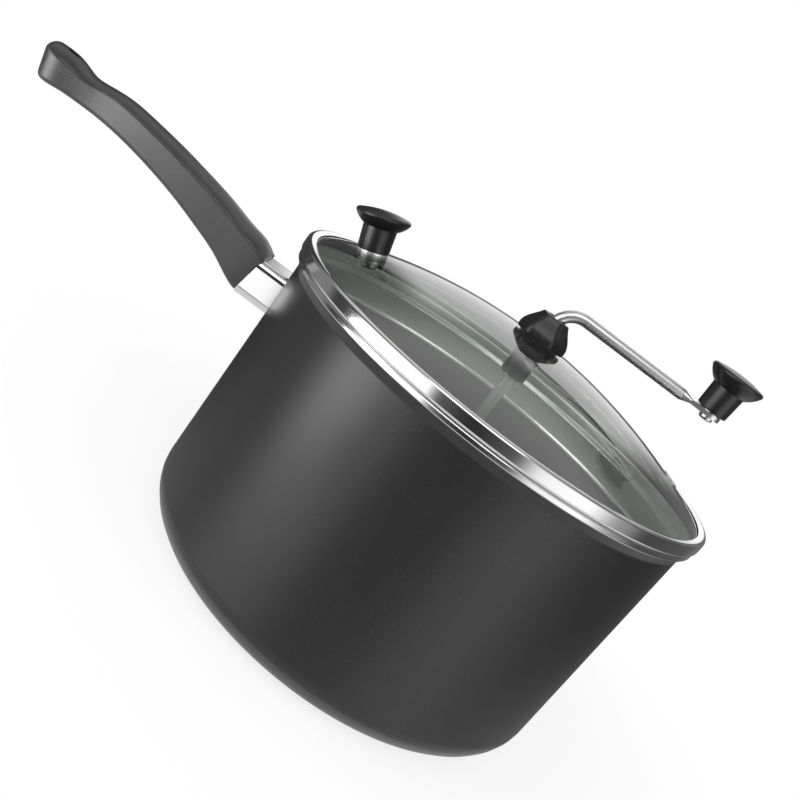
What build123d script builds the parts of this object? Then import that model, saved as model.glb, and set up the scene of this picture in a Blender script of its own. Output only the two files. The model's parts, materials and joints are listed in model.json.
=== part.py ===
"""Stovetop popcorn popper: an aluminium pot with a long handle, a glass lid and a hand crank.

Millimetres, +Z up. The origin is the centre of the pot's underside. The handle points along -X,
and at rest the crank arm points along +X.
"""

import math
import os

from build123d import *

os.makedirs("parts", exist_ok=True)


def finish_piece(piece, name):
    """Label a finished piece and write it to its own file."""
    piece.part.label = name
    export_step(piece.part, f"parts/{name}.step")


# ------------------------------------------------------------------ driving dimensions

# Pot
pot_height = 146.8
wall_radius_bottom = 120.2
wall_radius_neck = 120.8
wall_thickness = 2.0
floor_thickness = 3.5
corner_radius = 18.0
neck_start_height = 139.0
bead_radius = 1.7
rim_radius = 124.0

# Lid
lid_radius = 125.0
sheet = 0.7
dome_crown_height = 177.1
dome_radius = 312.0
glass_thickness = 4.0
glass_edge_radius = 122.5
skirt_bottom_height = 121.55

# Things on the dome, at a distance from the pot's axis
lid_knob_distance = 94.6
vent_distance = 98.5

# Spool knobs, which share one body. Their heights are those of the flare, the rim and the crown.
knob_body_radius = 8.9
knob_foot_radius = 8.4
crank_knob_flange_radius = 15.0
crank_knob_heights = (13.4, 20.1, 23.3)
lid_knob_flange_radius = 14.5
lid_knob_heights = (12.2, 17.6, 21.0)
knob_foot_bevel = 0.6
knob_flare_bulge = 0.74
knob_flare_drop = 0.39
knob_shoulder_inset = 1.4
knob_shoulder_rise = 1.8

# Crank
rod_radius = 3.2
running_clearance = 0.05
arm_height = 199.6
bend_radius = 13.0
arm_reach = 91.0
eye_thickness = 2.3
eye_radius = 6.5
shaft_bottom_height = 9.0

# Hub
hub_base_radius = 14.3
hub_wide_radius = 14.7
hub_middle_radius = 11.6
hub_top_radius = 8.1
hub_base_height = dome_crown_height + 0.6
hub_top_height = 192.0
hub_wide_rise = 2.8
hub_middle_rise = 9.0
hub_turn = -13.0
bush_radius = 5.0
guide_bottom_height = 154.0

# Handle
ferrule_width = 25.0
ferrule_top_height = 127.5
ferrule_bottom_height = 105.5
ferrule_sheet = 1.0
seam_top_distance = 135.8
seam_bottom_distance = 140.3
rivet_radius = 2.0
hanging_hole_radius = 4.0
hanging_hole_distance = 271.5


def dome_height(distance, depth=0.0):
    """Height of the glass at a distance from the axis, at a depth below its outer surface."""
    centre_height = dome_crown_height - dome_radius
    return centre_height + math.sqrt((dome_radius - depth) ** 2 - distance**2)


def dome_plane(distance, side):
    """Plane that touches the dome's outer surface, its normal pointing outward.

    side is +1 for the side of the crank arm and -1 for the side of the handle.
    """
    lean = math.asin(distance / dome_radius)
    outward = Vector(side * math.sin(lean), 0, math.cos(lean))
    seat = Vector(side * distance, 0, dome_height(distance))
    return Plane(origin=seat, x_dir=Vector(0, 1, 0).cross(outward), z_dir=outward)


def round_face(plane, radius, hole_radius=0):
    """A disc on a plane, or a ring if it has a hole."""
    with BuildSketch(plane) as outline:
        Circle(radius)
        if hole_radius:
            Circle(hole_radius, mode=Mode.SUBTRACT)
    return outline.sketch


def slot_face(plane, length, width):
    """The cross of a screw's drive slots on a plane."""
    with BuildSketch(plane) as outline:
        Rectangle(length, width)
        Rectangle(width, length)
    return outline.sketch


def knob_face(plane, flange_radius, heights, bore_radius, bore_depth):
    """Half the section of a spool knob: local X is the distance from its axis, local Y its height.

    It widens from the foot to the flare, then to the widest circle of the flange, whose rounded
    shoulder leads to a low crown.
    """
    flare_height, rim_height, crown_height = heights
    flare_width = flange_radius - knob_body_radius
    flare_rise = rim_height - flare_height
    flare_mid = (
        knob_body_radius + knob_flare_bulge * flare_width,
        rim_height - knob_flare_drop * flare_rise,
    )
    rim = (flange_radius, rim_height)
    rim_mid = (flange_radius - 0.25, rim_height + 1.1)
    shoulder = (flange_radius - knob_shoulder_inset, rim_height + knob_shoulder_rise)
    crown_rise = crown_height - shoulder[1]
    crown_radius = (shoulder[0] ** 2 + crown_rise**2) / (2 * crown_rise)
    crown_mid = shoulder[0] / 2
    crown_mid_height = crown_height - crown_radius + math.sqrt(crown_radius**2 - crown_mid**2)
    foot = (knob_foot_radius, knob_foot_bevel)
    flare = (knob_body_radius, flare_height)
    with BuildSketch(plane) as outline:
        with BuildLine():
            Line((0, 0), (knob_foot_radius - knob_foot_bevel, 0))
            Line((knob_foot_radius - knob_foot_bevel, 0), foot)
            Line(foot, flare)
            ThreePointArc(flare, flare_mid, rim)
            ThreePointArc(rim, rim_mid, shoulder)
            ThreePointArc(shoulder, (crown_mid, crown_mid_height), (0, crown_height))
            Line((0, crown_height), (0, 0))
        make_face()
        if bore_depth:
            with Locations((0, bore_depth / 2)):
                Rectangle(2 * bore_radius, bore_depth, mode=Mode.SUBTRACT)
    return outline.sketch


# ------------------------------------------------------------------ pot

bead_centre_radius = rim_radius - bead_radius
bead_centre_height = pot_height - bead_radius
corner_centre_radius = wall_radius_bottom - corner_radius
inner_corner_radius = corner_radius - wall_thickness
corner_mid = math.sin(math.radians(45))
neck_mid_height = neck_start_height + 2.6
neck_mid_flare = 0.7
inner_neck_mid_flare = 0.55
under_bead_height = bead_centre_height - 1.5
outer_under_bead = (bead_centre_radius + 0.8, under_bead_height)
inner_under_bead = (bead_centre_radius - 1.9, under_bead_height)
inner_bead_side = (bead_centre_radius - 1.6, bead_centre_height + 0.2)

with BuildPart() as pot_envelope:
    with BuildSketch(Plane.XZ):
        with BuildLine():
            Line((0, 0), (corner_centre_radius, 0))
            ThreePointArc(
                (corner_centre_radius, 0),
                (
                    corner_centre_radius + corner_radius * corner_mid,
                    corner_radius - corner_radius * corner_mid,
                ),
                (wall_radius_bottom, corner_radius),
            )
            Line((wall_radius_bottom, corner_radius), (wall_radius_neck, neck_start_height))
            ThreePointArc(
                (wall_radius_neck, neck_start_height),
                (wall_radius_neck + neck_mid_flare, neck_mid_height),
                outer_under_bead,
            )
            ThreePointArc(
                outer_under_bead,
                (rim_radius, bead_centre_height),
                (bead_centre_radius, pot_height),
            )
            Line((bead_centre_radius, pot_height), (0, pot_height))
            Line((0, pot_height), (0, 0))
        make_face()
    revolve(axis=Axis.Z)

with BuildPart() as pot_cavity:
    with BuildSketch(Plane.XZ):
        inner_bottom_radius = wall_radius_bottom - wall_thickness
        inner_neck_radius = wall_radius_neck - wall_thickness
        inner_corner_centre = inner_bottom_radius - inner_corner_radius
        corner_top = floor_thickness + inner_corner_radius
        with BuildLine():
            Line((0, floor_thickness), (inner_corner_centre, floor_thickness))
            ThreePointArc(
                (inner_corner_centre, floor_thickness),
                (
                    inner_corner_centre + inner_corner_radius * corner_mid,
                    corner_top - inner_corner_radius * corner_mid,
                ),
                (inner_bottom_radius, corner_top),
            )
            Line((inner_bottom_radius, corner_top), (inner_neck_radius, neck_start_height))
            ThreePointArc(
                (inner_neck_radius, neck_start_height),
                (inner_neck_radius + inner_neck_mid_flare, neck_mid_height),
                inner_under_bead,
            )
            ThreePointArc(inner_under_bead, inner_bead_side, (bead_centre_radius, pot_height))
            Line((bead_centre_radius, pot_height), (0, pot_height))
            Line((0, pot_height), (0, floor_thickness))
        make_face()
    revolve(axis=Axis.Z)

rivet_height = 113.5
rivet_spacing = 14.0
rivet_drill_start = inner_bottom_radius - 2.0


def rivet_faces(distance, radius):
    """Two discs, one for each rivet, facing outward at a distance from the pot's axis."""
    plane = Plane(origin=(-distance, 0, rivet_height), x_dir=(0, 1, 0), z_dir=(-1, 0, 0))
    with BuildSketch(plane) as outline:
        with GridLocations(rivet_spacing, 0, 2, 1):
            Circle(radius)
    return outline.sketch


with BuildPart() as pot_body:
    add(pot_envelope.part)
    add(pot_cavity.part, mode=Mode.SUBTRACT)
    extrude(rivet_faces(rivet_drill_start, rivet_radius), amount=12, mode=Mode.SUBTRACT)
finish_piece(pot_body, "pot_body")

# ------------------------------------------------------------------ handle

# The steel bar of the bracket runs up into the grip at the slope of the grip's inner end.
bar_width = 8.0
bar_thickness = 5.0
bar_start = Vector(-122.5, 0, 115.0)
bar_slope = 16.0
bar_length = 42.0
bar_corner = 1.0
bar_direction = Vector(-math.cos(math.radians(bar_slope)), 0, math.sin(math.radians(bar_slope)))
bar_plane = Plane(origin=bar_start, x_dir=(0, 1, 0), z_dir=bar_direction)

foot_width = 20.0
foot_height = 17.0
foot_thickness = 2.5
foot_inner_radius = wall_radius_neck + 0.05
foot_centre_height = (ferrule_top_height + ferrule_bottom_height) / 2

screw_distance = 30.0
screw_radius = 2.5
screw_head_radius = 4.8
screw_plane = Plane(
    origin=bar_start + bar_direction * screw_distance,
    x_dir=(0, 1, 0),
    z_dir=Vector(0, 1, 0).cross(bar_direction),
)
screw_head_depth = 7.4
screw_tip_height = 1.5

with BuildPart() as handle_bracket:
    with BuildSketch(Plane.XY.offset(foot_centre_height - foot_height / 2)):
        Circle(foot_inner_radius + foot_thickness)
        Circle(foot_inner_radius, mode=Mode.SUBTRACT)
        with Locations((-foot_inner_radius, 0)):
            Rectangle(4 * foot_thickness, foot_width, mode=Mode.INTERSECT)
    extrude(amount=foot_height)
    with BuildSketch(bar_plane):
        RectangleRounded(bar_width, bar_thickness, bar_corner)
    extrude(amount=bar_length)
    extrude(rivet_faces(rivet_drill_start, rivet_radius), amount=12, mode=Mode.SUBTRACT)
    extrude(
        round_face(screw_plane.offset(-bar_thickness), screw_radius),
        amount=bar_thickness + screw_tip_height,
        mode=Mode.SUBTRACT,
    )
finish_piece(handle_bracket, "handle_bracket")

# The rivets: a domed head inside the pot, a flat upset head on the bracket's foot.
rivet_inner_start = 118.0
rivet_outer_end = foot_inner_radius + foot_thickness + 0.05
rivet_head_radius = 4.2
rivet_head_thickness = 1.5
rivet_upset_radius = 2.9
rivet_upset_height = 1.2

with BuildPart() as handle_rivets:
    rivet_length = rivet_outer_end - rivet_inner_start + rivet_upset_height
    extrude(rivet_faces(rivet_inner_start, rivet_radius), amount=rivet_length)
    extrude(rivet_faces(rivet_outer_end, rivet_upset_radius), amount=rivet_upset_height)
    extrude(rivet_faces(rivet_inner_start, rivet_head_radius), amount=-rivet_head_thickness)
    inner_head_rims = handle_rivets.faces().sort_by(Axis.X)[-2:].edges()
    fillet(inner_head_rims, 1.2)
finish_piece(handle_rivets, "handle_rivets")

seam_top = Vector(-seam_top_distance, 0, ferrule_top_height)
seam_bottom = Vector(-seam_bottom_distance, 0, ferrule_bottom_height)
seam_normal = Vector(0, 1, 0).cross(seam_top - seam_bottom).normalized()
seam_plane = Plane(origin=seam_bottom, x_dir=(0, 1, 0), z_dir=seam_normal)
ferrule_height = ferrule_top_height - ferrule_bottom_height
ferrule_corner = 4.6
ferrule_length = 40.0
ferrule_plane = Plane(
    origin=(-corner_centre_radius, 0, foot_centre_height), x_dir=(0, 1, 0), z_dir=(-1, 0, 0)
)

with BuildPart() as handle_ferrule:
    with BuildSketch(ferrule_plane):
        RectangleRounded(ferrule_width, ferrule_height, ferrule_corner)
        RectangleRounded(
            ferrule_width - 2 * ferrule_sheet,
            ferrule_height - 2 * ferrule_sheet,
            ferrule_corner - ferrule_sheet,
            mode=Mode.SUBTRACT,
        )
    extrude(amount=ferrule_length)
    add(pot_envelope.part, mode=Mode.SUBTRACT)
    split(bisect_by=seam_plane, keep=Keep.TOP if seam_normal.X > 0 else Keep.BOTTOM)
finish_piece(handle_ferrule, "handle_ferrule")


def seam_distance(height):
    """Distance from the pot's axis of the seam between ferrule and grip, at a height."""
    slope = (seam_bottom_distance - seam_top_distance) / ferrule_height
    return seam_top_distance + slope * (ferrule_top_height - height)


# Cross-sections of the grip from the ferrule to the end, each in the plane through its top and
# bottom points: top distance, top height, bottom distance, bottom height, half width, crown.
grip_start_top = ferrule_top_height + 1.8
grip_start_bottom = ferrule_bottom_height - 0.2
grip_sections = [
    (
        seam_distance(grip_start_top),
        grip_start_top,
        seam_distance(grip_start_bottom),
        grip_start_bottom,
        12.8,
        1.2,
    ),
    (138.6, 132.6, 143.8, 106.1, 13.0, 3.4),
    (150.0, 136.3, 157.5, 112.9, 12.6, 3.7),
    (166.0, 140.5, 173.5, 119.0, 12.0, 3.7),
    (184.0, 144.3, 190.0, 124.2, 11.5, 3.6),
    (203.0, 147.6, 208.0, 128.6, 11.0, 3.5),
    (222.0, 150.1, 225.0, 131.7, 10.6, 3.4),
    (237.0, 151.2, 238.0, 133.2, 10.2, 3.2),
    (249.0, 150.2, 249.0, 133.7, 9.9, 3.2),
    (259.0, 149.9, 259.0, 133.7, 10.6, 3.6),
    (268.0, 152.6, 267.5, 133.5, 12.2, 4.6),
    (275.0, 153.3, 273.6, 132.9, 13.0, 5.2),
]
grip_bottom_taper = 0.8
grip_bottom_bow = 1.2
grip_bottom_round = 3.0
grip_ridge_round = 1.4
grip_end_length = 8.8
grip_end_side = 9.5
grip_end_edge = 4.2
grip_end_lean = 0.9
socket_clearance = 0.3

# The end of the grip is round: smaller copies of the last section follow an ellipse seen from
# above, and the upper and lower edges turn over at the very end.
end_top_x, end_top_z, end_bottom_x, end_bottom_z, end_half_width, end_crown = grip_sections[-1]
for turn in (25, 45, 60, 73, 82):
    advance = grip_end_length * math.sin(math.radians(turn))
    side_inset = grip_end_side * (1 - math.cos(math.radians(turn)))
    over = max(0.0, advance - grip_end_length + grip_end_edge)
    edge_inset = grip_end_edge - math.sqrt(grip_end_edge**2 - over**2)
    grip_sections.append(
        (
            end_top_x + advance,
            end_top_z - edge_inset,
            end_bottom_x + grip_end_lean * advance,
            end_bottom_z + edge_inset,
            end_half_width - side_inset,
            end_crown * (end_half_width - side_inset) / end_half_width,
        )
    )


def grip_section_plane(top_distance, top_height, bottom_distance, bottom_height):
    """Plane of one cross-section, its local Y running from the bottom point to the top point."""
    rise = Vector(bottom_distance - top_distance, 0, top_height - bottom_height)
    return Plane(
        origin=(-bottom_distance, 0, bottom_height),
        x_dir=(0, 1, 0),
        z_dir=Vector(0, 1, 0).cross(rise),
    )


with BuildPart() as handle_grip:
    for top_x, top_z, bottom_x, bottom_z, half_width, crown in grip_sections:
        section_height = math.hypot(bottom_x - top_x, top_z - bottom_z)
        ridge = section_height - crown
        foot = half_width * grip_bottom_taper
        with BuildSketch(grip_section_plane(top_x, top_z, bottom_x, bottom_z)):
            with BuildLine():
                ThreePointArc((-half_width, ridge), (0, section_height), (half_width, ridge))
                Line((half_width, ridge), (foot, grip_bottom_bow))
                ThreePointArc((foot, grip_bottom_bow), (0, 0), (-foot, grip_bottom_bow))
                Line((-foot, grip_bottom_bow), (-half_width, ridge))
            make_face()
            fillet(vertices().sort_by(Axis.Y)[:2], grip_bottom_round)
            fillet(vertices().sort_by(Axis.Y)[-2:], grip_ridge_round)
    loft()
    # Socket for the bracket bar
    with BuildSketch(bar_plane):
        Rectangle(bar_width + 2 * socket_clearance, bar_thickness + 2 * socket_clearance)
    extrude(amount=bar_length + socket_clearance, mode=Mode.SUBTRACT)
    # Screw hole from below, with a deep seat for the head
    extrude(
        round_face(screw_plane, screw_radius),
        amount=-screw_head_depth,
        mode=Mode.SUBTRACT,
    )
    extrude(
        round_face(screw_plane.offset(-screw_head_depth), screw_head_radius),
        amount=-screw_head_depth,
        mode=Mode.SUBTRACT,
    )
    extrude(
        round_face(Plane(origin=(-hanging_hole_distance, 0, 0)), hanging_hole_radius),
        amount=dome_crown_height,
        mode=Mode.SUBTRACT,
    )
finish_piece(handle_grip, "handle_grip")

screw_seat = screw_plane.offset(-screw_head_depth)
screw_head_height = 3.0
screw_head_clearance = 0.2
screw_slot_depth = 1.4

with BuildPart() as handle_screw:
    extrude(round_face(screw_seat, screw_radius), amount=screw_head_depth + screw_tip_height)
    extrude(
        round_face(screw_seat, screw_head_radius - screw_head_clearance),
        amount=-screw_head_height,
    )
    extrude(
        slot_face(screw_seat.offset(-screw_head_height), 5.0, 1.2),
        amount=screw_slot_depth,
        mode=Mode.SUBTRACT,
    )
finish_piece(handle_screw, "handle_screw")

# ------------------------------------------------------------------ lid

lid_knob_plane = dome_plane(lid_knob_distance, -1)
vent_plane = dome_plane(vent_distance, 1)
screw_hole_radius = 3.2
vent_hole_radius = 3.6
hub_hole_radius = 5.6
drill_start = 5.0
drill_length = 15.0

with BuildPart() as lid_glass:
    inner_dome_radius = dome_radius - glass_thickness
    outer_mid = dome_radius * math.sin(math.asin(glass_edge_radius / dome_radius) / 2)
    inner_mid = inner_dome_radius * math.sin(math.asin(glass_edge_radius / inner_dome_radius) / 2)
    outer_edge = (glass_edge_radius, dome_height(glass_edge_radius))
    inner_edge = (glass_edge_radius, dome_height(glass_edge_radius, glass_thickness))
    inner_crown = (0, dome_crown_height - glass_thickness)
    with BuildSketch(Plane.XZ):
        with BuildLine():
            ThreePointArc((0, dome_crown_height), (outer_mid, dome_height(outer_mid)), outer_edge)
            Line(outer_edge, inner_edge)
            ThreePointArc(
                inner_edge, (inner_mid, dome_height(inner_mid, glass_thickness)), inner_crown
            )
            Line(inner_crown, (0, dome_crown_height))
        make_face()
    revolve(axis=Axis.Z)
    for hole_plane, hole_radius in (
        (Plane.XY.offset(dome_crown_height), hub_hole_radius),
        (lid_knob_plane, screw_hole_radius),
        (vent_plane, vent_hole_radius),
    ):
        extrude(
            round_face(hole_plane.offset(drill_start), hole_radius),
            amount=-drill_length,
            mode=Mode.SUBTRACT,
        )
finish_piece(lid_glass, "lid_glass")

# The band is one strip: lip on the glass, rolled edge, flange on the pot rim, then the skirt with
# a shelf and a folded hem.
band_edge_radius = lid_radius - sheet / 2
flange_height = 147.3
skirt_radius = 117.7
shelf_radius = 116.2
shelf_height = 138.4
shelf_slope_top = 141.0
hem_radius = 114.9
hem_height = skirt_bottom_height + sheet / 2
hem_fold = 2.5
lip_radius = 120.2
lip_height = dome_height(lip_radius) + 0.4
crest_height = 154.2

with BuildPart() as lid_band:
    with BuildSketch(Plane.XZ):
        with BuildLine():
            FilletPolyline(
                (lip_radius, lip_height),
                (band_edge_radius, crest_height),
                (band_edge_radius, flange_height),
                (skirt_radius, flange_height),
                (skirt_radius, shelf_slope_top),
                (shelf_radius, shelf_height),
                (shelf_radius, hem_height),
                (hem_radius, hem_height),
                (hem_radius, hem_height + hem_fold),
                radius=[1.6, 1.2, 0.9, 1.2, 1.2, 0.6, 0.6],
            )
        trace(line_width=sheet)
    revolve(axis=Axis.Z)
finish_piece(lid_band, "lid_band")

eyelet_outer_radius = 5.2
eyelet_bore_radius = 2.5
eyelet_rim = 0.8
eyelet_rounding = 0.35
eyelet_length = glass_thickness + 0.1

with BuildPart() as vent_eyelet:
    extrude(round_face(vent_plane, eyelet_outer_radius, eyelet_bore_radius), amount=eyelet_rim)
    fillet(vent_eyelet.faces().sort_by(Axis.Z)[-1].edges(), eyelet_rounding)
    extrude(round_face(vent_plane, vent_hole_radius, eyelet_bore_radius), amount=-eyelet_length)
    extrude(
        round_face(vent_plane.offset(-eyelet_length), eyelet_outer_radius, eyelet_bore_radius),
        amount=-eyelet_rim,
    )
finish_piece(vent_eyelet, "vent_eyelet")

# The lid knob stands square to the dome on a steel washer; a screw from inside the lid holds it.
knob_washer_thickness = 1.0
knob_screw_radius = 2.5
knob_screw_depth = 14.0
seal_gap = 0.1
seal_radius = 6.5
seal_thickness = 1.5
screw_washer_radius = 7.0
screw_washer_thickness = 1.1
pan_head_radius = 4.6
pan_head_height = 2.8
pan_slot_depth = 1.6
seal_top = -glass_thickness - seal_gap
seal_bottom = seal_top - seal_thickness
screw_washer_bottom = seal_bottom - screw_washer_thickness
screw_washer_plane = lid_knob_plane.offset(seal_bottom)
pan_head_plane = lid_knob_plane.offset(screw_washer_bottom)
lid_knob_seat = lid_knob_plane.offset(knob_washer_thickness)
lid_knob_screw_length = knob_washer_thickness + knob_screw_depth - 0.5 - screw_washer_bottom

with BuildPart() as lid_knob_washer:
    extrude(
        round_face(lid_knob_plane, knob_foot_radius - knob_foot_bevel / 3, knob_screw_radius),
        amount=knob_washer_thickness,
    )
finish_piece(lid_knob_washer, "lid_knob_washer")

with BuildPart() as lid_knob:
    knob_section = Plane(
        origin=lid_knob_seat.origin, x_dir=lid_knob_seat.x_dir, z_dir=-lid_knob_seat.y_dir
    )
    revolve(
        knob_face(
            knob_section,
            lid_knob_flange_radius,
            lid_knob_heights,
            knob_screw_radius,
            knob_screw_depth,
        ),
        axis=Axis(lid_knob_seat.origin, lid_knob_seat.z_dir),
    )
finish_piece(lid_knob, "lid_knob")

with BuildPart() as lid_knob_seal:
    extrude(
        round_face(lid_knob_plane.offset(seal_top), seal_radius, knob_screw_radius),
        amount=-seal_thickness,
    )
finish_piece(lid_knob_seal, "lid_knob_seal")

with BuildPart() as lid_knob_screw_washer:
    extrude(
        round_face(screw_washer_plane, screw_washer_radius, knob_screw_radius),
        amount=-screw_washer_thickness,
    )
finish_piece(lid_knob_screw_washer, "lid_knob_screw_washer")

with BuildPart() as lid_knob_screw:
    extrude(round_face(pan_head_plane, knob_screw_radius), amount=lid_knob_screw_length)
    extrude(round_face(pan_head_plane, pan_head_radius), amount=-pan_head_height)
    fillet(lid_knob_screw.faces().sort_by(Axis.Z)[0].edges(), 1.2)
    extrude(
        slot_face(pan_head_plane.offset(-pan_head_height), 4.6, 1.1),
        amount=pan_slot_depth,
        mode=Mode.SUBTRACT,
    )
finish_piece(lid_knob_screw, "lid_knob_screw")

# ------------------------------------------------------------------ hub

# A threaded tube passes through the crown of the dome. The cap screws on it from above and the
# long nut from below, each on a soft washer. The crank shaft turns in the tube.
cap_thread_top = 186.0
mouth_start = hub_top_height - 4.8
mouth_radius = 5.0
cap_bore_radius = rod_radius + 0.4
guide_flange_radius = 10.0
guide_flange_height = 4.0
guide_radius = 7.2
guide_chamfer = 0.8
hub_seal_radius = 11.5
hub_seal_thickness = 1.0
guide_top = dome_crown_height - glass_thickness - hub_seal_thickness - 0.2
cap_corner_round = 3.0
cap_top_round = 1.2

with BuildPart() as hub_cap:
    with BuildSketch(Plane.XY.offset(hub_base_height)):
        RegularPolygon(hub_base_radius, 6, rotation=hub_turn)
    with BuildSketch(Plane.XY.offset(hub_base_height + hub_wide_rise)):
        RegularPolygon(hub_wide_radius, 6, rotation=hub_turn)
    with BuildSketch(Plane.XY.offset(hub_base_height + hub_middle_rise)):
        RegularPolygon(hub_middle_radius, 6, rotation=hub_turn)
    with BuildSketch(Plane.XY.offset(hub_top_height)):
        RegularPolygon(hub_top_radius, 6, rotation=hub_turn)
    loft()
    corner_edges = [edge for edge in hub_cap.edges() if abs(edge.tangent_at(0.5).Z) > 0.3]
    fillet(corner_edges, cap_corner_round)
    fillet(hub_cap.faces().sort_by(Axis.Z)[-1].edges(), cap_top_round)
    extrude(
        round_face(Plane.XY.offset(hub_base_height), bush_radius),
        amount=cap_thread_top - hub_base_height,
        mode=Mode.SUBTRACT,
    )
    extrude(
        round_face(Plane.XY.offset(cap_thread_top), cap_bore_radius),
        amount=mouth_start - cap_thread_top,
        mode=Mode.SUBTRACT,
    )
    with BuildSketch(Plane.XY.offset(mouth_start)):
        Circle(cap_bore_radius)
    with BuildSketch(Plane.XY.offset(hub_top_height)):
        Circle(mouth_radius)
    loft(mode=Mode.SUBTRACT)
finish_piece(hub_cap, "hub_cap")

with BuildPart() as hub_seal_top:
    extrude(
        round_face(Plane.XY.offset(dome_crown_height), hub_seal_radius, bush_radius),
        amount=hub_base_height - dome_crown_height,
    )
finish_piece(hub_seal_top, "hub_seal_top")

with BuildPart() as hub_bush:
    extrude(
        round_face(
            Plane.XY.offset(guide_bottom_height), bush_radius, rod_radius + running_clearance
        ),
        amount=cap_thread_top - guide_bottom_height,
    )
finish_piece(hub_bush, "hub_bush")

with BuildPart() as hub_seal_bottom:
    extrude(
        round_face(Plane.XY.offset(guide_top), guide_flange_radius, bush_radius),
        amount=hub_seal_thickness,
    )
finish_piece(hub_seal_bottom, "hub_seal_bottom")

with BuildPart() as hub_guide:
    with BuildSketch(Plane.XY.offset(guide_top)):
        RegularPolygon(guide_flange_radius, 6)
    extrude(amount=-guide_flange_height)
    extrude(
        round_face(Plane.XY.offset(guide_top), guide_radius),
        amount=guide_bottom_height - guide_top,
    )
    chamfer(hub_guide.faces().sort_by(Axis.Z)[0].edges(), guide_chamfer)
    extrude(
        round_face(Plane.XY.offset(guide_bottom_height), bush_radius),
        amount=guide_top - guide_bottom_height,
        mode=Mode.SUBTRACT,
    )
finish_piece(hub_guide, "hub_guide")

# ------------------------------------------------------------------ crank

shaft_washer_radius = 5.8
shaft_washer_thickness = 0.7
shaft_washer_clearance = 0.1
clip_radius = 5.0
clip_gap = 3.4
clip_thickness = 0.8
clip_top = guide_bottom_height - shaft_washer_thickness - shaft_washer_clearance
clip_bottom = clip_top - clip_thickness
groove_radius = 2.4
eye_rise = 0.2
eye_centre_height = arm_height + eye_rise
eye_top = eye_centre_height + eye_thickness / 2
eye_bottom = eye_centre_height - eye_thickness / 2
rod_end = 74.0
eye_neck = 79.0
eye_neck_width = 8.6
eye_edge_round = 0.9
rod_end_side = 2 * rod_radius - 0.1
knob_pin_radius = 2.5

with BuildPart() as crank_rod:
    with BuildLine() as rod_path:
        FilletPolyline(
            (0, 0, shaft_bottom_height),
            (0, 0, arm_height),
            (rod_end, 0, arm_height),
            radius=bend_radius,
        )
    sweep(
        round_face(Plane.XY.offset(shaft_bottom_height), rod_radius), path=rod_path.wire()
    )
    # The rod is pressed flat towards its end
    with BuildSketch(Plane(origin=(rod_end, 0, arm_height), x_dir=(0, 1, 0), z_dir=(1, 0, 0))):
        RectangleRounded(rod_end_side, rod_end_side, rod_end_side / 2 - 0.05)
    with BuildSketch(
        Plane(origin=(eye_neck, 0, eye_centre_height), x_dir=(0, 1, 0), z_dir=(1, 0, 0))
    ):
        RectangleRounded(eye_neck_width, eye_thickness, eye_edge_round)
    loft()
    with BuildSketch(Plane.XY.offset(eye_bottom)):
        with Locations((arm_reach, 0)):
            Circle(eye_radius)
        with BuildLine():
            Polyline(
                (eye_neck, -eye_neck_width / 2),
                (arm_reach, -eye_radius),
                (arm_reach, eye_radius),
                (eye_neck, eye_neck_width / 2),
                close=True,
            )
        make_face()
        with Locations((arm_reach, 0)):
            Circle(knob_pin_radius, mode=Mode.SUBTRACT)
    extrude(amount=eye_thickness)
    extrude(
        round_face(Plane.XY.offset(clip_bottom), rod_radius + 1, groove_radius),
        amount=clip_thickness,
        mode=Mode.SUBTRACT,
    )
finish_piece(crank_rod, "crank_rod")

with BuildPart() as shaft_washer:
    extrude(
        round_face(
            Plane.XY.offset(clip_top), shaft_washer_radius, rod_radius + shaft_washer_clearance
        ),
        amount=shaft_washer_thickness,
    )
finish_piece(shaft_washer, "shaft_washer")

with BuildPart() as shaft_clip:
    with BuildSketch(Plane.XY.offset(clip_bottom)):
        Circle(clip_radius)
        Circle(groove_radius, mode=Mode.SUBTRACT)
        with Locations((0, -clip_radius)):
            Rectangle(clip_gap, 2 * clip_radius, mode=Mode.SUBTRACT)
    extrude(amount=clip_thickness)
finish_piece(shaft_clip, "shaft_clip")

boss_radius = 8.0
boss_height = 15.0
wire_radius = 1.6
wire_start = 4.0
long_wire_height = shaft_bottom_height + 4.5
short_wire_height = shaft_bottom_height + 10.0
floor_run_height = 7.2
set_screw_radius = 2.0
set_screw_length = 4.6
set_screw_socket_radius = 1.15
set_screw_socket_depth = 2.0
boss_chamfer = 0.8


def side_plane(distance, height, direction):
    """Plane at a height beside the shaft, facing away from it along a level direction."""
    outward = Vector(direction)
    return Plane(origin=outward * distance + Vector(0, 0, height), z_dir=outward)


long_wire_start = side_plane(wire_start, long_wire_height, (1, 0, 0))
short_wire_start = side_plane(wire_start, short_wire_height, (-1, 0, 0))
set_screw_start = side_plane(rod_radius, short_wire_height, (0, 1, 0))

with BuildPart() as stirrer_boss:
    extrude(
        round_face(Plane.XY.offset(shaft_bottom_height), boss_radius, rod_radius),
        amount=boss_height,
    )
    chamfer(
        stirrer_boss.edges().filter_by(GeomType.CIRCLE).sort_by(SortBy.RADIUS)[-2:], boss_chamfer
    )
    for hole_start, hole_radius in (
        (long_wire_start, wire_radius),
        (short_wire_start, wire_radius),
        (set_screw_start, set_screw_radius),
    ):
        extrude(round_face(hole_start, hole_radius), amount=boss_radius, mode=Mode.SUBTRACT)
finish_piece(stirrer_boss, "stirrer_boss")

with BuildPart() as stirrer_wire_long:
    with BuildLine() as long_wire_path:
        FilletPolyline(
            (wire_start, 0, long_wire_height),
            (16, 0, long_wire_height),
            (25, 0, floor_run_height),
            (96, 0, floor_run_height),
            (108, 0, 22),
            (109, 0, 42),
            radius=[5, 5, 10, 10],
        )
    sweep(round_face(long_wire_start, wire_radius), path=long_wire_path.wire())
finish_piece(stirrer_wire_long, "stirrer_wire_long")

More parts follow.
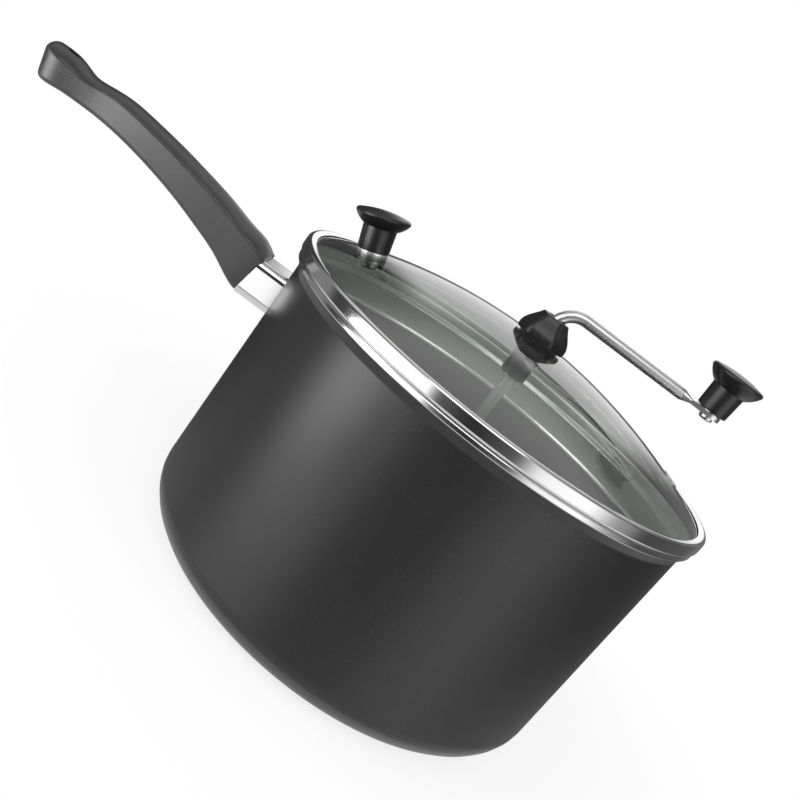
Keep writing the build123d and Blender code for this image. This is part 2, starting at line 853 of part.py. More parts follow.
with BuildPart() as stirrer_wire_short:
    with BuildLine() as short_wire_path:
        FilletPolyline(
            (-wire_start, 0, short_wire_height),
            (-16, 0, short_wire_height),
            (-32, 0, floor_run_height),
            (-62, 0, floor_run_height),
            (-76, 0, 26),
            radius=[5, 6, 8],
        )
    sweep(round_face(short_wire_start, wire_radius), path=short_wire_path.wire())
finish_piece(stirrer_wire_short, "stirrer_wire_short")

with BuildPart() as stirrer_set_screw:
    extrude(round_face(set_screw_start, set_screw_radius), amount=set_screw_length)
    with BuildSketch(set_screw_start.offset(set_screw_length)):
        RegularPolygon(set_screw_socket_radius, 6)
    extrude(amount=-set_screw_socket_depth, mode=Mode.SUBTRACT)
finish_piece(stirrer_set_screw, "stirrer_set_screw")

# ------------------------------------------------------------------ crank knob

crank_washer_radius = 6.0
crank_washer_thickness = 0.5
knob_gap = 0.1
knob_seat_height = eye_top + crank_washer_thickness + knob_gap
pin_shoulder_height = knob_seat_height + 14.8
pin_head_height = 1.7
pin_head_radius = 4.6
rivet_dome_radius = 3.9
rivet_dome_height = 2.5
rivet_dome_round = 1.5
counterbore_radius = 5.4
plug_gap = 0.6


def pin_plane(height):
    """Level plane centred on the axis of the crank knob."""
    return Plane(origin=(arm_reach, 0, height))


with BuildPart() as knob_rivet:
    extrude(
        round_face(pin_plane(eye_bottom), knob_pin_radius),
        amount=pin_shoulder_height - eye_bottom,
    )
    extrude(round_face(pin_plane(pin_shoulder_height), pin_head_radius), amount=pin_head_height)
    extrude(round_face(pin_plane(eye_bottom), rivet_dome_radius), amount=-rivet_dome_height)
    fillet(knob_rivet.faces().sort_by(Axis.Z)[0].edges(), rivet_dome_round)
finish_piece(knob_rivet, "knob_rivet")

with BuildPart() as knob_washer:
    extrude(
        round_face(pin_plane(eye_top), crank_washer_radius, knob_pin_radius),
        amount=crank_washer_thickness,
    )
finish_piece(knob_washer, "knob_washer")

crank_knob_seat = pin_plane(knob_seat_height)
crank_knob_axis = Axis(crank_knob_seat.origin, crank_knob_seat.z_dir)
crank_knob_section = Plane(
    origin=crank_knob_seat.origin, x_dir=crank_knob_seat.x_dir, z_dir=-crank_knob_seat.y_dir
)

with BuildPart() as crank_knob:
    revolve(
        knob_face(
            crank_knob_section,
            crank_knob_flange_radius,
            crank_knob_heights,
            knob_pin_radius + running_clearance,
            crank_knob_heights[-1],
        ),
        axis=crank_knob_axis,
    )
    extrude(
        round_face(pin_plane(pin_shoulder_height - knob_gap), counterbore_radius),
        amount=crank_knob_heights[-1],
        mode=Mode.SUBTRACT,
    )
finish_piece(crank_knob, "crank_knob")

with BuildPart() as crank_knob_plug:
    revolve(
        knob_face(crank_knob_section, crank_knob_flange_radius, crank_knob_heights, 0, 0),
        axis=crank_knob_axis,
    )
    extrude(
        round_face(
            pin_plane(pin_shoulder_height + pin_head_height + plug_gap), counterbore_radius
        ),
        amount=crank_knob_heights[-1],
        mode=Mode.INTERSECT,
    )
finish_piece(crank_knob_plug, "crank_knob_plug")
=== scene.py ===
"""Looks of the stovetop popcorn popper: finishes, fine trim, studio and camera.

Metres, in the frame of the part: +Z up, origin at the centre of the pot's underside,
handle along -X.
"""

import json
import math

import bmesh
import bpy
from mathutils import Matrix, Vector


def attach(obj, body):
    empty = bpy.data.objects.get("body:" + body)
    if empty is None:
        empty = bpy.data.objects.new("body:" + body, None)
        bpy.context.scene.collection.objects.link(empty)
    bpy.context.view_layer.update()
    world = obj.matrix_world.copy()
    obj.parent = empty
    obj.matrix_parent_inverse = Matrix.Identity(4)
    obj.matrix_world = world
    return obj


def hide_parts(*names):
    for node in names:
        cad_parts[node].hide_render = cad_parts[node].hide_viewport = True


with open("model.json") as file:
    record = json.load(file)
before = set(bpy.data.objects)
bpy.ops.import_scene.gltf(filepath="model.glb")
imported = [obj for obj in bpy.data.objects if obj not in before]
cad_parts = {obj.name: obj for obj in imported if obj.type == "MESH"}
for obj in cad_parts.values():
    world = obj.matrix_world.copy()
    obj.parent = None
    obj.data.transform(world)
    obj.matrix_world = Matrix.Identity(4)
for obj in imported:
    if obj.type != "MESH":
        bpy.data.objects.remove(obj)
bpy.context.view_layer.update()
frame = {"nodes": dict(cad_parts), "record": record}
nodes = frame["nodes"]

TURN = 2 * math.pi

# ---------------------------------------------------------------- camera

CAMERA_PLACE = Vector((-0.06638, -0.47231, 0.23244))
CAMERA_AZIMUTH = math.radians(-8)
CAMERA_TILT = math.radians(90 - 9.83)
CAMERA_YAW = math.radians(4.42)
CAMERA_PITCH = math.radians(-4.82)
CAMERA_ROLL = math.radians(38.23)
CAMERA_LENS = 41.92
CAMERA_SENSOR = 36
CAMERA_NEAREST = 0.01


def make_camera():
    """The camera of the photo, rolled as it was held."""
    data = bpy.data.cameras.new("camera")
    data.sensor_width = CAMERA_SENSOR
    data.lens = CAMERA_LENS
    data.clip_start = CAMERA_NEAREST
    camera = bpy.data.objects.new("camera", data)
    bpy.context.scene.collection.objects.link(camera)
    camera.matrix_world = (
        Matrix.Translation(CAMERA_PLACE)
        @ Matrix.Rotation(CAMERA_AZIMUTH, 4, "Z")
        @ Matrix.Rotation(CAMERA_TILT, 4, "X")
        @ Matrix.Rotation(CAMERA_YAW, 4, "Y")
        @ Matrix.Rotation(CAMERA_PITCH, 4, "X")
        @ Matrix.Rotation(CAMERA_ROLL, 4, "Z")
    )
    bpy.context.scene.camera = camera


# ---------------------------------------------------------------- shader helpers


def add(tree, kind, inputs=None, **attributes):
    """Add a node. Inputs are values, or output sockets to link."""
    made = tree.nodes.new(kind)
    for name, value in attributes.items():
        setattr(made, name, value)
    for name, value in (inputs or {}).items():
        if isinstance(value, bpy.types.NodeSocket):
            tree.links.new(value, made.inputs[name])
        else:
            made.inputs[name].default_value = value
    return made


def math_node(tree, operation, a, b=0.0, c=0.0):
    """One step of arithmetic on numbers or output sockets."""
    made = add(tree, "ShaderNodeMath", {0: a, 1: b, 2: c}, operation=operation)
    return made.outputs[0]


def mix(tree, factor, a, b):
    """Blend two numbers."""
    made = add(tree, "ShaderNodeMix", {0: factor, 2: a, 3: b}, data_type="FLOAT")
    return made.outputs[0]


def blend_colour(tree, factor, a, b):
    """Blend two colours."""
    made = add(tree, "ShaderNodeMix", {0: factor, 6: a, 7: b}, data_type="RGBA")
    return made.outputs[2]


def ramp(tree, value, low, high, to_low=0.0, to_high=1.0):
    """Map a value from one range to another with a smooth step."""
    made = add(
        tree,
        "ShaderNodeMapRange",
        {0: value, 1: low, 2: high, 3: to_low, 4: to_high},
        interpolation_type="SMOOTHSTEP",
    )
    return made.outputs[0]


def noise(tree, place, scale, detail=2.0):
    """Cloudy values between 0 and 1. The scale is in clouds per metre."""
    made = add(
        tree,
        "ShaderNodeTexNoise",
        {"Vector": place, "Scale": scale, "Detail": detail, "Roughness": 0.5},
    )
    return made.outputs["Fac"]


def stretch(tree, place, factors):
    """Coordinates scaled per axis, for a grain that runs one way."""
    made = add(tree, "ShaderNodeVectorMath", {0: place, 1: factors}, operation="MULTIPLY")
    return made.outputs[0]


def bump(tree, height, distance):
    """Fine relief. The distance is its depth in metres."""
    made = add(
        tree, "ShaderNodeBump", {"Height": height, "Distance": distance, "Strength": 1.0}
    )
    return made.outputs["Normal"]


def grey(value, tint=(1.0, 1.0, 1.0)):
    """A colour from one linear value."""
    return (value * tint[0], value * tint[1], value * tint[2], 1.0)


def start_material(name):
    """A new node material: returns it with its tree, its principled shader and its place."""
    made = bpy.data.materials.new(name)
    made.use_nodes = True
    tree = made.node_tree
    shader = tree.nodes["Principled BSDF"]
    place = add(tree, "ShaderNodeTexCoord").outputs["Object"]
    return made, tree, shader, place


def link(tree, output, socket):
    """Feed a shader input from another node."""
    tree.links.new(output, socket)


def polar(tree, place):
    """Radius from the pot's axis, and height, of a point."""
    parts = add(tree, "ShaderNodeSeparateXYZ", {0: place})
    flat = stretch(tree, place, (1, 1, 0))
    length = add(tree, "ShaderNodeVectorMath", {0: flat}, operation="LENGTH")
    return length.outputs["Value"], parts.outputs["Z"]


def turned_place(tree, place):
    """Coordinates whose grain runs round the pot's axis: angle, radius and height."""
    parts = add(tree, "ShaderNodeSeparateXYZ", {0: place})
    radius, height = polar(tree, place)
    angle = math_node(tree, "ARCTAN2", parts.outputs["Y"], parts.outputs["X"])
    around = math_node(tree, "MULTIPLY", angle, GRAIN_AROUND)
    return add(tree, "ShaderNodeCombineXYZ", {0: around, 1: radius, 2: height}).outputs[0]


# ---------------------------------------------------------------- materials

# Where a finish changes on one piece: heights, then radii from the pot's axis.
BEAD_EDGE = (0.1434, 0.1437)
INNER_WALL_EDGE = (0.1192, 0.1188)
SKIRT_EDGE = (0.1190, 0.1182)

# How far a turn of one radian moves the grain of turned metal.
GRAIN_AROUND = 0.004

# Linear greys of the finishes.
COATING_DARK = 0.009
COATING_LIGHT = 0.013
COATING_INSIDE = 0.04
COATING_FLECK = 0.022
BARE_METAL = 0.74
POLISHED_DARK = 0.70
POLISHED_LIGHT = 0.78
RUBBER_DARK = 0.02
RUBBER_LIGHT = 0.035
FLOOR_DARK = 0.86
FLOOR_LIGHT = 0.9

# The grip shines more than plain plastic, whose level is 0.5.
GRIP_GLOSS = 0.9

# Tints of the glass: two for its body, one for light that passes straight through.
GLASS_DEEP = (0.82, 0.86, 0.82, 1.0)
GLASS_CLEAR = (0.86, 0.89, 0.85, 1.0)
GLASS_PASSING = (0.85, 0.89, 0.86, 1.0)


def pot_material():
    """Charcoal coating, flecked outside and plain inside, with bare metal on the rolled bead."""
    made, tree, shader, place = start_material("pot_coating")
    radius, height = polar(tree, place)
    speckle = noise(tree, place, 2600, 1.0)
    cloud = noise(tree, place, 14, 3.0)
    flecks = ramp(tree, noise(tree, place, 1400, 0.0), 0.70, 0.78)
    bead = ramp(tree, height, *BEAD_EDGE)
    warm = grey(COATING_LIGHT, (1.0, 0.97, 1.0))
    coating = blend_colour(tree, cloud, grey(COATING_DARK), warm)
    inside = ramp(tree, radius, *INNER_WALL_EDGE)
    coating = blend_colour(tree, inside, coating, grey(COATING_INSIDE))
    outside = math_node(tree, "SUBTRACT", 1.0, inside)
    outer_flecks = math_node(tree, "MULTIPLY", flecks, outside)
    flecked = blend_colour(tree, outer_flecks, coating, grey(COATING_FLECK))
    colour = blend_colour(tree, bead, flecked, grey(BARE_METAL))
    link(tree, colour, shader.inputs["Base Color"])
    link(tree, bead, shader.inputs["Metallic"])
    satin = math_node(tree, "MULTIPLY_ADD", speckle, 0.08, 0.32)
    turned = noise(tree, turned_place(tree, place), 2500, 2.0)
    bright = math_node(tree, "MULTIPLY_ADD", turned, 0.1, 0.1)
    link(tree, mix(tree, bead, satin, bright), shader.inputs["Roughness"])
    link(tree, bump(tree, speckle, 0.000001), shader.inputs["Normal"])
    return made


def steel_material(name, value, low, high, scale=900.0):
    """Plain steel of one grey, with a cloudy roughness between two limits."""
    made, tree, shader, place = start_material(name)
    shader.inputs["Metallic"].default_value = 1.0
    wear = noise(tree, place, scale, 3.0)
    smear = noise(tree, place, 60, 2.0)
    colour = blend_colour(tree, smear, grey(value * 0.93), grey(value))
    link(tree, colour, shader.inputs["Base Color"])
    rough = math_node(tree, "MULTIPLY_ADD", wear, high - low, low)
    link(tree, rough, shader.inputs["Roughness"])
    link(tree, bump(tree, wear, 0.0000002), shader.inputs["Normal"])
    return made


def polished_material():
    """Bright sheet steel, polished in lines that run round the pot, with a satin skirt."""
    made, tree, shader, place = start_material("polished_steel")
    lines = noise(tree, turned_place(tree, place), 1800, 3.0)
    smear = noise(tree, place, 45, 3.0)
    colour = blend_colour(tree, smear, grey(POLISHED_DARK), grey(POLISHED_LIGHT))
    link(tree, colour, shader.inputs["Base Color"])
    polish = math_node(tree, "MULTIPLY_ADD", lines, 0.06, 0.07)
    bright = math_node(tree, "MULTIPLY_ADD", smear, 0.05, polish)
    radius, height = polar(tree, place)
    inside = ramp(tree, radius, *SKIRT_EDGE)
    satin = math_node(tree, "MULTIPLY_ADD", lines, 0.1, 0.2)
    link(tree, mix(tree, inside, bright, satin), shader.inputs["Roughness"])
    link(tree, mix(tree, inside, 1.0, 0.7), shader.inputs["Metallic"])
    link(tree, bump(tree, lines, 0.0000002), shader.inputs["Normal"])
    return made


def phenolic_material(name, value, low, high):
    """Moulded black phenolic: cloudy gloss, fine grain and a few hairline scratches."""
    made, tree, shader, place = start_material(name)
    grain = noise(tree, place, 1800, 2.0)
    cloud = noise(tree, place, 40, 3.0)
    scratch = ramp(tree, noise(tree, stretch(tree, place, (0.15, 1, 1)), 900, 1.0), 0.68, 0.74)
    colour = blend_colour(tree, cloud, grey(value * 0.85), grey(value))
    link(tree, blend_colour(tree, scratch, colour, grey(value * 1.8)), shader.inputs["Base Color"])
    rough = math_node(tree, "MULTIPLY_ADD", cloud, high - low, low)
    link(tree, math_node(tree, "MULTIPLY_ADD", scratch, 0.08, rough), shader.inputs["Roughness"])
    link(tree, bump(tree, grain, 0.00001), shader.inputs["Normal"])
    return made


def rubber_material():
    """Matte black rubber with a fine grain."""
    made, tree, shader, place = start_material("seal_rubber")
    grain = noise(tree, place, 1500, 2.0)
    colour = blend_colour(tree, grain, grey(RUBBER_DARK), grey(RUBBER_LIGHT))
    link(tree, colour, shader.inputs["Base Color"])
    link(tree, math_node(tree, "MULTIPLY_ADD", grain, 0.15, 0.62), shader.inputs["Roughness"])
    link(tree, bump(tree, grain, 0.00002), shader.inputs["Normal"])
    return made


def glass_material():
    """Tempered glass, faintly green, with a slight wave. Lamps shine straight through it."""
    made, tree, shader, place = start_material("glass")
    wave = noise(tree, place, 9, 1.0)
    haze = noise(tree, place, 120, 3.0)
    tint = blend_colour(tree, haze, GLASS_DEEP, GLASS_CLEAR)
    link(tree, tint, shader.inputs["Base Color"])
    shader.inputs["Transmission Weight"].default_value = 1.0
    shader.inputs["IOR"].default_value = 1.5
    link(tree, math_node(tree, "MULTIPLY", haze, 0.02), shader.inputs["Roughness"])
    link(tree, bump(tree, wave, 0.0003), shader.inputs["Normal"])
    output = tree.nodes["Material Output"]
    passing = add(tree, "ShaderNodeBsdfTransparent", {"Color": GLASS_PASSING})
    path = add(tree, "ShaderNodeLightPath")
    lit = math_node(tree, "MAXIMUM", path.outputs["Is Shadow Ray"], path.outputs["Is Diffuse Ray"])
    both = add(tree, "ShaderNodeMixShader", {0: lit, 1: shader.outputs[0], 2: passing.outputs[0]})
    link(tree, both.outputs[0], output.inputs["Surface"])
    return made


def dress_nodes():
    """Give every carried-over node its finish by the record's material slot."""
    grip = phenolic_material("grip_phenolic", 0.016, 0.34, 0.42)
    gloss = grip.node_tree.nodes["Principled BSDF"].inputs["Specular IOR Level"]
    gloss.default_value = GRIP_GLOSS
    finishes = {
        "pot_coating": pot_material(),
        "plain_steel": steel_material("plain_steel", 0.55, 0.25, 0.4),
        "rivet_metal": steel_material("rivet_metal", 0.7, 0.2, 0.35),
        "polished_steel": polished_material(),
        "grip_phenolic": grip,
        "glass": glass_material(),
        "knob_phenolic": phenolic_material("knob_phenolic", 0.012, 0.26, 0.34),
        "seal_rubber": rubber_material(),
        "crank_steel": steel_material("crank_steel", 0.82, 0.3, 0.36, scale=260.0),
    }
    slots = {row["node"]: row["material_slot"] for row in frame["record"]["subparts"]}
    for name, piece in nodes.items():
        piece.data.materials.clear()
        piece.data.materials.append(finishes[slots[name]])


# ---------------------------------------------------------------- fine pieces

# The ridge runs between two places along X, and tapers to a small share of its radius.
RIDGE_START = -0.262
RIDGE_END = -0.146
RIDGE_STATIONS = 48
RIDGE_RADIUS = 0.00035
RIDGE_SIDES = 10
RIDGE_SMOOTHING = 6
RIDGE_TIP_SHARE = 0.15
SHOULDER_LEAN = math.radians(52)


def finish_shape(name, shape, material):
    """Turn a bmesh into an object of the scene with one material."""
    bmesh.ops.recalc_face_normals(shape, faces=shape.faces)
    mesh = bpy.data.meshes.new(name)
    shape.to_mesh(mesh)
    shape.free()
    mesh.materials.append(material)
    made = bpy.data.objects.new(name, mesh)
    bpy.context.scene.collection.objects.link(made)
    return made


def shoulder_points(side):
    """Points along the shoulder of the grip, where its top turns into its flank."""
    mesh = nodes["handle_grip"].data
    lean = (side * math.cos(SHOULDER_LEAN), math.sin(SHOULDER_LEAN))
    step = (RIDGE_END - RIDGE_START) / (RIDGE_STATIONS - 1)
    best = [None] * RIDGE_STATIONS
    for vertex in mesh.vertices:
        place = vertex.co
        station = round((place.x - RIDGE_START) / step)
        if not 0 <= station < RIDGE_STATIONS:
            continue
        reach = place.y * lean[0] + place.z * lean[1]
        if best[station] is None or reach > best[station][0]:
            best[station] = (reach, place.copy())
    found = [row[1] for row in best if row is not None]
    smooth = found[:]
    for _ in range(RIDGE_SMOOTHING):
        middle = [(a + b * 2 + c) / 4 for a, b, c in zip(smooth, smooth[1:], smooth[2:])]
        smooth = [smooth[0]] + middle + [smooth[-1]]
    return smooth


def make_ridge(name, side, material):
    """A fine moulded ridge that tapers out at both ends, built ring by ring."""
    points = shoulder_points(side)
    shape = bmesh.new()
    rings = []
    for number, point in enumerate(points):
        before = points[max(number - 1, 0)]
        after = points[min(number + 1, len(points) - 1)]
        along = (after - before).normalized()
        across = along.cross(Vector((0, 0, 1))).normalized()
        upward = across.cross(along)
        share = number / (len(points) - 1)
        swell = math.sin(math.pi * share) ** 0.5
        radius = RIDGE_RADIUS * (RIDGE_TIP_SHARE + (1 - RIDGE_TIP_SHARE) * swell)
        ring = []
        for spoke in range(RIDGE_SIDES):
            angle = TURN * spoke / RIDGE_SIDES
            offset = across * math.cos(angle) + upward * math.sin(angle)
            ring.append(shape.verts.new(point + offset * radius))
        rings.append(ring)
    for first, second in zip(rings, rings[1:]):
        for spoke in range(RIDGE_SIDES):
            following = (spoke + 1) % RIDGE_SIDES
            corners = (first[spoke], first[following], second[following], second[spoke])
            shape.faces.new(corners).smooth = True
    shape.faces.new(reversed(rings[0]))
    shape.faces.new(rings[-1])
    ridge = finish_shape(name, shape, material)
    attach(ridge, "pot")


# ---------------------------------------------------------------- turned pieces

# Profiles run through corners of (radius, height, round) in millimetres, as in the CAD.
# The band is a sheet of one thickness that follows its corners.
BAND_SHEET = 0.7
MM_PER_METRE = 1000
ON_AXIS = 1e-9
TURNED_STEPS = 288
ROUND_STEPS = 7
BAND_CORNERS = (
    (120.2, 153.47, 0),
    (124.65, 154.2, 1.6),
    (124.65, 147.3, 1.2),
    (117.7, 147.3, 0.9),
    (117.7, 141.0, 1.2),
    (116.2, 138.4, 1.2),
    (116.2, 121.9, 0.6),
    (114.9, 121.9, 0.6),
    (114.9, 124.4, 0),
)
POT_CORNERS = (
    (0, 0, 0),
    (120.2, 0, 18.0),
    (120.8, 139.0, 3.0),
    (123.1, 143.6, 0.8),
    (124.0, 143.9, 0.5),
    (124.0, 146.8, 1.45),
    (120.7, 146.8, 1.4),
    (120.6, 143.6, 1.5),
    (118.8, 139.0, 3.0),
    (118.2, 3.5, 16.0),
    (0, 3.5, 0),
)


def rounded(corners):
    """The corners joined by straight runs, with an arc of short steps at each round one."""
    spots = [Vector((radius, height)) for radius, height, bend in corners]
    path = [spots[0]]
    for number in range(1, len(spots) - 1):
        corner = spots[number]
        bend = corners[number][2]
        back = (spots[number - 1] - corner).normalized()
        ahead = (spots[number + 1] - corner).normalized()
        opening = back.angle(ahead)
        reach = bend / math.tan(opening / 2)
        centre = corner + (back + ahead).normalized() * (bend / math.sin(opening / 2))
        first = corner + back * reach - centre
        last = corner + ahead * reach - centre
        swing = first.angle_signed(last)
        for step in range(ROUND_STEPS + 1):
            turned = first.copy()
            turned.rotate(Matrix.Rotation(-swing * step / ROUND_STEPS, 2))
            path.append(centre + turned)
    path.append(spots[-1])
    return path


def strip(path, thickness):
    """The closed outline of a sheet that follows a path."""
    sides = ([], [])
    for number, spot in enumerate(path):
        before = path[max(number - 1, 0)]
        after = path[min(number + 1, len(path) - 1)]
        along = (after - before).normalized()
        across = Vector((-along.y, along.x)) * (thickness / 2)
        sides[0].append(spot + across)
        sides[1].append(spot - across)
    return sides[0] + sides[1][::-1]


def turn_piece(name, outline, closed, material, node, body):
    """Turn an outline round the pot's axis, in place of a CAD node."""
    shape = bmesh.new()
    rings = []
    for spot in outline:
        radius, height = spot.x / MM_PER_METRE, spot.y / MM_PER_METRE
        if radius < ON_AXIS:
            rings.append([shape.verts.new((0, 0, height))] * TURNED_STEPS)
            continue
        ring = []
        for step in range(TURNED_STEPS):
            angle = TURN * step / TURNED_STEPS
            ring.append(
                shape.verts.new((radius * math.cos(angle), radius * math.sin(angle), height))
            )
        rings.append(ring)
    following_rings = rings[1:] + (rings[:1] if closed else [])
    for first, second in zip(rings, following_rings):
        for step in range(TURNED_STEPS):
            after = (step + 1) % TURNED_STEPS
            corners = [first[step], first[after], second[after], second[step]]
            distinct = list(dict.fromkeys(corners))
            if len(distinct) > 2:
                shape.faces.new(distinct).smooth = True
    turned = finish_shape(name, shape, material)
    smooth = turned.modifiers.new("crisp", "WEIGHTED_NORMAL")
    smooth.keep_sharp = True
    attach(turned, body)
    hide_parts(node)
    return turned


# ---------------------------------------------------------------- studio

FLOOR_REACH = 6.0

# The share of plain white in the floor that the camera sees, under the pot and away from it,
# and the radii between which it changes.
FLOOR_WHITE_NEAR = 0.8
FLOOR_WHITE_FAR = 1.0
SHADOW_INSIDE = 0.14
SHADOW_OUTSIDE = 0.34

# How bright matte surfaces see the studio, all round.
AMBIENT = 0.6

# What gloss sees round the pot: an azimuth in degrees, and how bright the studio is there.
STUDIO_RING = (
    (-180, 0.05),
    (-172, 0.08),
    (-162, 2.2),
    (-128, 2.4),
    (-116, 0.10),
    (-98, 0.03),
    (-76, 0.10),
    (-60, 1.2),
    (-38, 1.4),
    (-16, 0.35),
    (0, 0.08),
    (34, 0.10),
    (54, 0.20),
    (70, 0.10),
    (88, 0.14),
    (100, 0.06),
    (130, 0.05),
    (152, 0.24),
    (164, 0.26),
    (174, 0.05),
    (180, 0.05),
)

# How bright the other parts of the studio are. The ceiling keeps a share of the ring.
BACKDROP_LIGHT = 1.1
CEILING_LIGHT = 0.2
CEILING_SHARE = 0.2
CANOPY_LIGHT = 0.92
GROUND_LIGHT = 0.8

# Where each part begins and is full, along X, Y or Z of a direction of length 1.
BACKDROP_LEFT_X = (-0.18, -0.08)
BACKDROP_RIGHT_X = (0.30, 0.44)
BACKDROP_Y = (0.3, 0.6)
BACKDROP_BASE_Z = (-0.01, 0.07)
BACKDROP_TOP_Z = (0.42, 0.58)
CEILING_Z = (0.40, 0.60)
CANOPY_Y = (0.15, 0.55)
CANOPY_Z = (0.54, 0.74)
GROUND_Z = (-0.64, -0.30)


def ring_brightness(tree, direction):
    """The studio's brightness by azimuth."""
    parts = add(tree, "ShaderNodeSeparateXYZ", {0: direction})
    angle = math_node(tree, "ARCTAN2", parts.outputs["Y"], parts.outputs["X"])
    share = math_node(tree, "MULTIPLY_ADD", angle, 1 / TURN, 0.5)
    brightest = max(light for azimuth, light in STUDIO_RING)
    steps = add(tree, "ShaderNodeValToRGB", {0: share})
    steps.color_ramp.interpolation = "EASE"
    marks = steps.color_ramp.elements
    while len(marks) < len(STUDIO_RING):
        marks.new(1.0)
    for mark, (azimuth, light) in zip(marks, STUDIO_RING):
        mark.position = azimuth / 360 + 0.5
    for mark, (azimuth, light) in zip(marks, STUDIO_RING):
        mark.color = grey(light / brightest)
    return math_node(tree, "MULTIPLY", steps.outputs["Color"], brightest)


def backdrop_share(tree, parts, path):
    """How much of the bright backdrop lies in a direction. Light that passed glass sees none."""
    left_edge = ramp(tree, parts.outputs["X"], *BACKDROP_LEFT_X)
    right_edge = ramp(tree, parts.outputs["X"], *BACKDROP_RIGHT_X, 1.0, 0.0)
    across = math_node(tree, "MULTIPLY", left_edge, right_edge)
    behind = ramp(tree, parts.outputs["Y"], *BACKDROP_Y)
    behind = math_node(tree, "MULTIPLY", behind, across)
    raised = ramp(tree, parts.outputs["Z"], *BACKDROP_BASE_Z)
    lowered = ramp(tree, parts.outputs["Z"], *BACKDROP_TOP_Z, 1.0, 0.0)
    upright = math_node(tree, "MULTIPLY", raised, lowered)
    backdrop = math_node(tree, "MULTIPLY", behind, upright)
    reflected = math_node(tree, "SUBTRACT", 1.0, path.outputs["Is Transmission Ray"])
    return math_node(tree, "MULTIPLY", backdrop, reflected)


def make_world():
    """White for the camera. Gloss and glass see a ring of panels and dark screens, a bright
    backdrop, a dim ceiling with a canopy of light at the back, and the ground."""
    world = bpy.data.worlds.new("studio")
    bpy.context.scene.world = world
    world.use_nodes = True
    tree = world.node_tree
    background = tree.nodes["Background"]
    background.inputs["Color"].default_value = grey(1.0)
    path = add(tree, "ShaderNodeLightPath")
    direction = add(tree, "ShaderNodeTexCoord").outputs["Generated"]
    parts = add(tree, "ShaderNodeSeparateXYZ", {0: direction})
    up = parts.outputs["Z"]
    ring = ring_brightness(tree, direction)
    backdrop = backdrop_share(tree, parts, path)
    ring = math_node(tree, "MULTIPLY_ADD", backdrop, BACKDROP_LIGHT, ring)
    toward_back = ramp(tree, parts.outputs["Y"], *CANOPY_Y)
    overhead = ramp(tree, up, *CANOPY_Z)
    canopy = math_node(tree, "MULTIPLY", toward_back, overhead)
    canopy = mix(tree, canopy, CEILING_LIGHT, CANOPY_LIGHT)
    ceiling = math_node(tree, "MULTIPLY_ADD", ring, CEILING_SHARE, canopy)
    above = ramp(tree, up, *CEILING_Z)
    below = ramp(tree, up, *GROUND_Z, 1.0, 0.0)
    studio = mix(tree, below, mix(tree, above, ring, ceiling), GROUND_LIGHT)
    mirrored = math_node(
        tree, "MAXIMUM", path.outputs["Is Glossy Ray"], path.outputs["Is Transmission Ray"]
    )
    seen = mix(tree, mirrored, AMBIENT, studio)
    link(tree, mix(tree, path.outputs["Is Camera Ray"], seen, 1.0), background.inputs["Strength"])


def floor_material():
    """Pale floor that fades to plain white for the camera, and keeps a light shadow by the pot."""
    made, tree, shader, place = start_material("floor")
    cloud = noise(tree, place, 1.5, 2.0)
    colour = blend_colour(tree, cloud, grey(FLOOR_DARK), grey(FLOOR_LIGHT))
    link(tree, colour, shader.inputs["Base Color"])
    shader.inputs["Roughness"].default_value = 0.8
    shader.inputs["Specular IOR Level"].default_value = 0.1
    radius, height = polar(tree, place)
    fade = ramp(tree, radius, SHADOW_INSIDE, SHADOW_OUTSIDE, FLOOR_WHITE_NEAR, FLOOR_WHITE_FAR)
    path = add(tree, "ShaderNodeLightPath")
    white = add(tree, "ShaderNodeEmission", {"Strength": 1.0})
    share = math_node(tree, "MULTIPLY", path.outputs["Is Camera Ray"], fade)
    both = add(tree, "ShaderNodeMixShader", {0: share, 1: shader.outputs[0], 2: white.outputs[0]})
    link(tree, both.outputs[0], tree.nodes["Material Output"].inputs["Surface"])
    return made


def flat_piece(name, corners, material):
    """One flat face of the studio."""
    mesh = bpy.data.meshes.new(name)
    mesh.from_pydata(corners, [], [tuple(range(len(corners)))])
    mesh.materials.append(material)
    made = bpy.data.objects.new(name, mesh)
    bpy.context.scene.collection.objects.link(made)
    return made


def make_floor():
    """A wide floor that catches the shadow. Gloss and glass don't see it."""
    side = FLOOR_REACH
    corners = [(-side, -side, 0), (side, -side, 0), (side, side, 0), (-side, side, 0)]
    floor = flat_piece("floor", corners, floor_material())
    floor.visible_glossy = False
    floor.visible_transmission = False


def card_material(name, strength):
    """Plain white light of one strength."""
    made = bpy.data.materials.new(name)
    made.use_nodes = True
    tree = made.node_tree
    tree.nodes.remove(tree.nodes["Principled BSDF"])
    glow = add(tree, "ShaderNodeEmission", {"Color": grey(1.0), "Strength": strength})
    link(tree, glow.outputs[0], tree.nodes["Material Output"].inputs["Surface"])
    return made


def gloss_card(name, corners, strength):
    """A bright studio card that only reflections see."""
    card = flat_piece(name, corners, card_material(name, strength))
    card.visible_camera = False
    card.visible_diffuse = False
    card.visible_transmission = False
    card.visible_shadow = False


# Name, azimuth, distance, height, size, power in watts, and whether gloss sees the lamp.
SOFTBOXES = (
    ("left_panel", -161, 0.62, 0.27, (0.6, 0.5), 2.8, False),
    ("right_panel", -41, 0.62, 0.27, (0.6, 0.5), 1.8, False),
    ("front_top_panel", -98, 0.75, 0.95, (0.8, 0.6), 3.0, True),
)
SOFTBOX_AIM = Vector((0, 0, 0.1))

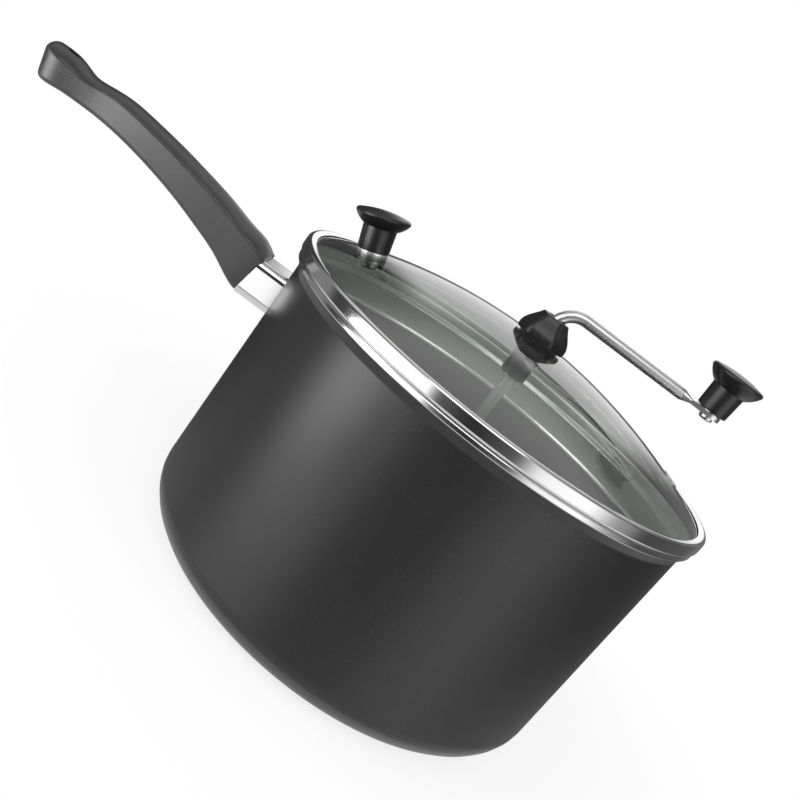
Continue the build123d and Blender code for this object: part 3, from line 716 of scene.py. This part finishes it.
# One card lies low in front of the grip, in X and Y. The other stands by the ferrule, in X and Z.
HANDLE_CARD_CORNERS = ((-0.72, -0.48), (-0.36, -0.48), (-0.36, -0.18), (-0.72, -0.18))
HANDLE_CARD_HEIGHT = 0.001
HANDLE_CARD_LIGHT = 8.4
FERRULE_CARD_CORNERS = ((-0.222, 0.02), (-0.146, 0.02), (-0.146, 0.10), (-0.222, 0.10))
FERRULE_CARD_PLACE = -0.25
FERRULE_CARD_LIGHT = 1.4


def softbox(name, azimuth, distance, height, size, power, in_gloss):
    """A panel of light that looks at the middle of the pot, from an azimuth in degrees."""
    data = bpy.data.lights.new(name, "AREA")
    data.shape = "RECTANGLE"
    data.size, data.size_y = size
    data.energy = power
    lamp = bpy.data.objects.new(name, data)
    bpy.context.scene.collection.objects.link(lamp)
    angle = math.radians(azimuth)
    lamp.location = (distance * math.cos(angle), distance * math.sin(angle), height)
    aim = SOFTBOX_AIM - lamp.location
    lamp.rotation_euler = aim.to_track_quat("-Z", "Y").to_euler()
    lamp.visible_camera = False
    lamp.visible_glossy = in_gloss


def make_lights():
    """Soft lamps, and two cards that put a bright reflection on the grip and the ferrule."""
    for row in SOFTBOXES:
        softbox(*row)
    low = [(x, y, HANDLE_CARD_HEIGHT) for x, y in HANDLE_CARD_CORNERS]
    gloss_card("handle_card", low, HANDLE_CARD_LIGHT)
    upright = [(x, FERRULE_CARD_PLACE, z) for x, z in FERRULE_CARD_CORNERS]
    gloss_card("ferrule_card", upright, FERRULE_CARD_LIGHT)


make_camera()
make_world()
make_floor()
make_lights()
dress_nodes()
finish_of = {name: piece.data.materials[0] for name, piece in nodes.items()}
band = turn_piece(
    "lid_band_turned", strip(rounded(BAND_CORNERS), BAND_SHEET), True,
    finish_of["lid_band"], "lid_band", "lid",
)
pot = turn_piece(
    "pot_body_turned", rounded(POT_CORNERS), False, finish_of["pot_body"], "pot_body", "pot"
)
# The moulded ridges are glossier than the grip. Their lighter grey is a painted highlight along
# the grip's shoulder.
ridge_painted_highlight_finish = phenolic_material("ridge_phenolic_painted_highlight", 0.03, 0.2, 0.28)
make_ridge("grip_ridge_front", -1, ridge_painted_highlight_finish)
make_ridge("grip_ridge_back", 1, ridge_painted_highlight_finish)

bpy.context.scene.view_settings.view_transform = "Standard"
